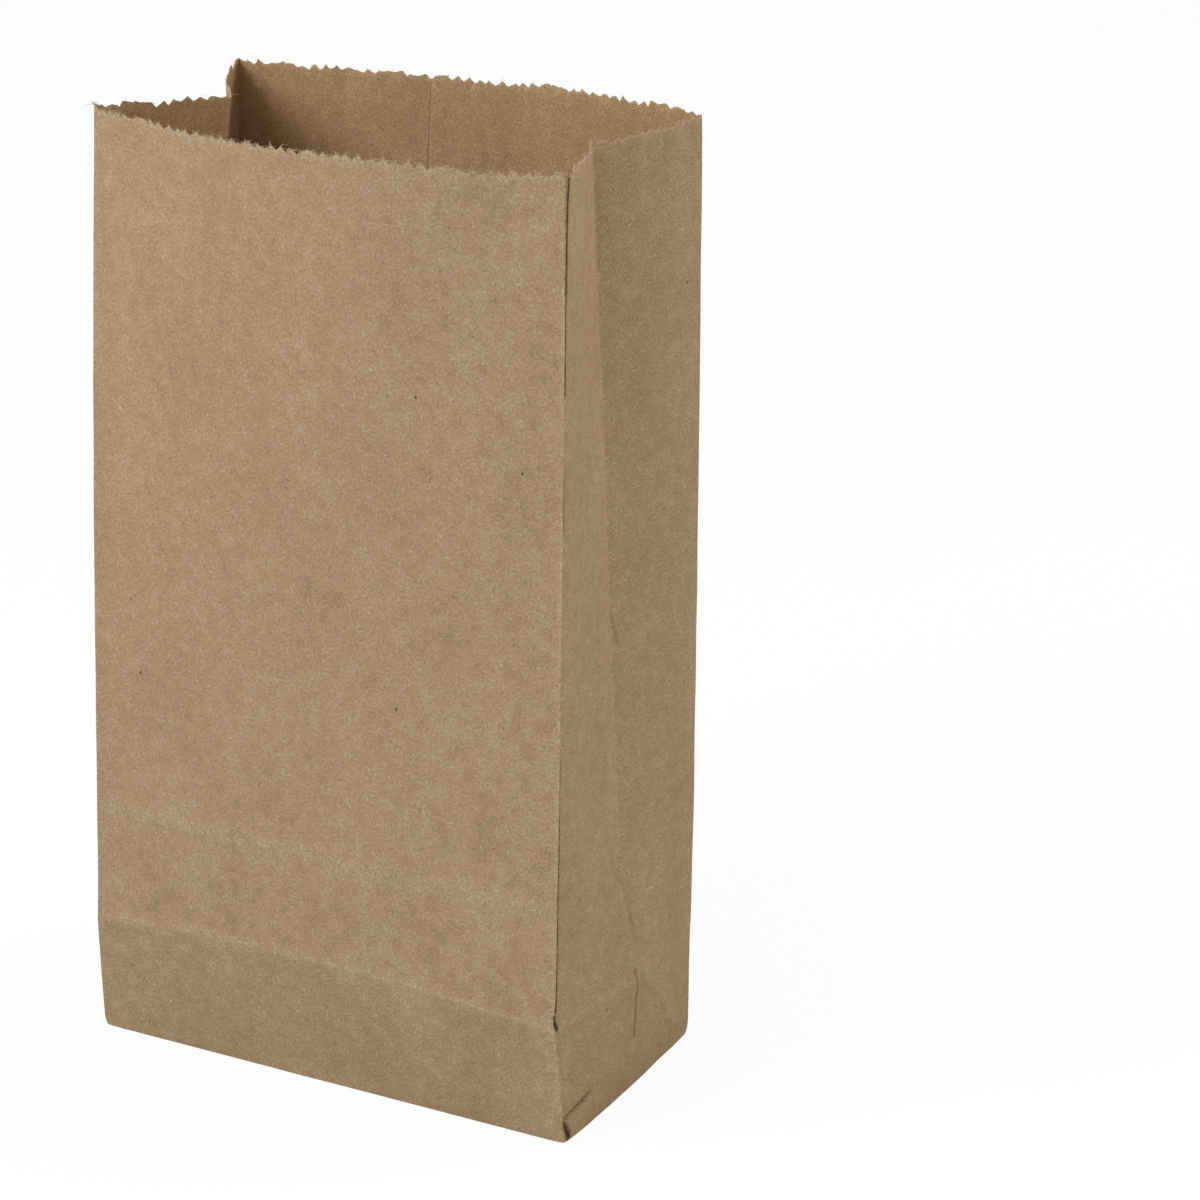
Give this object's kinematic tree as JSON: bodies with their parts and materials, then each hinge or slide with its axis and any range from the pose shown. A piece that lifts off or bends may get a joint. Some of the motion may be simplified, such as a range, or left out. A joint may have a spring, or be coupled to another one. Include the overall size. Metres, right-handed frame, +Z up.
{
  "type": "paper bag",
  "caption": "Open kraft paper lunch bag, folded from one sheet, with side gussets, a flat pasted bottom and a zigzag-cut rim.",
  "frame": {"origin": "centre of the bottom, on the surface that the bag stands on", "axes": "+Z up through the open mouth, the wide front panel faces -Y, the gussets face -X and +X"},
  "size_m": [0.1391, 0.0789, 0.234],
  "materials": {
    "kraft_paper": "matt, uncoated"
  },
  "bodies": {
    "root": {"paper_sack": "kraft_paper"}
  },
  "joints": []
}
